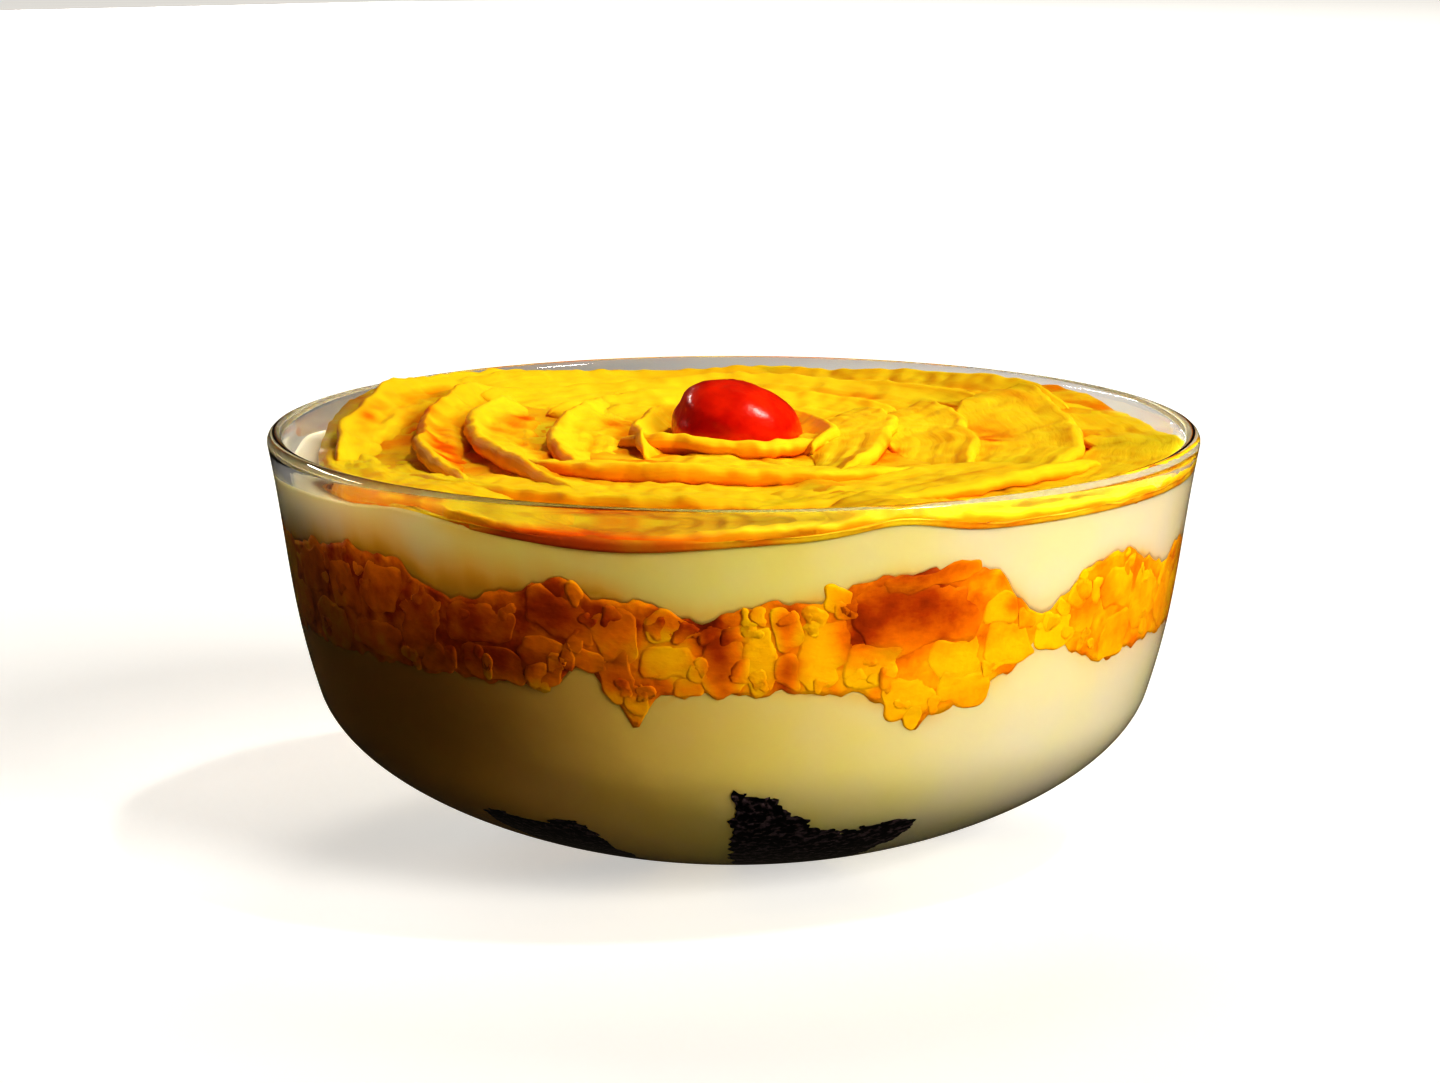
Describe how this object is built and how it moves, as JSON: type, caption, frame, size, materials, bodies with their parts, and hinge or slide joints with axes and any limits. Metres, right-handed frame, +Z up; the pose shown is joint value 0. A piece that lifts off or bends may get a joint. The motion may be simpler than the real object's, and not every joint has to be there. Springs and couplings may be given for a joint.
{
  "type": "mango trifle",
  "caption": "Mango trifle in a round clear glass bowl: dark cake, custard cream, mango, more cream, a rose of mango slices and a cherry.",
  "frame": {"origin": "middle of the bowl's base, on the surface that it stands on", "axes": "+Z up, -Y the front, +X to the right as seen from the front"},
  "size_m": [0.15, 0.15, 0.0739],
  "materials": {
    "glass": "clear, polished",
    "cake": "matt, crumbly dark chocolate cake",
    "cream": "smooth, thick custard cream",
    "mango_pieces": "wet, translucent diced mango",
    "mango_slices": "wet, thin slices of ripe mango",
    "cherry": "glossy, sugared cherry"
  },
  "bodies": {
    "root": {"bowl": "glass", "cake_1": "cake", "cake_2": "cake", "cake_3": "cake", "cake_4": "cake", "cake_5": "cake", "cake_6": "cake", "cake_7": "cake", "cream_lower": "cream", "mango_layer": "mango_pieces", "cream_upper": "cream", "mango_rose": "mango_slices", "cherry": "cherry"}
  },
  "joints": []
}
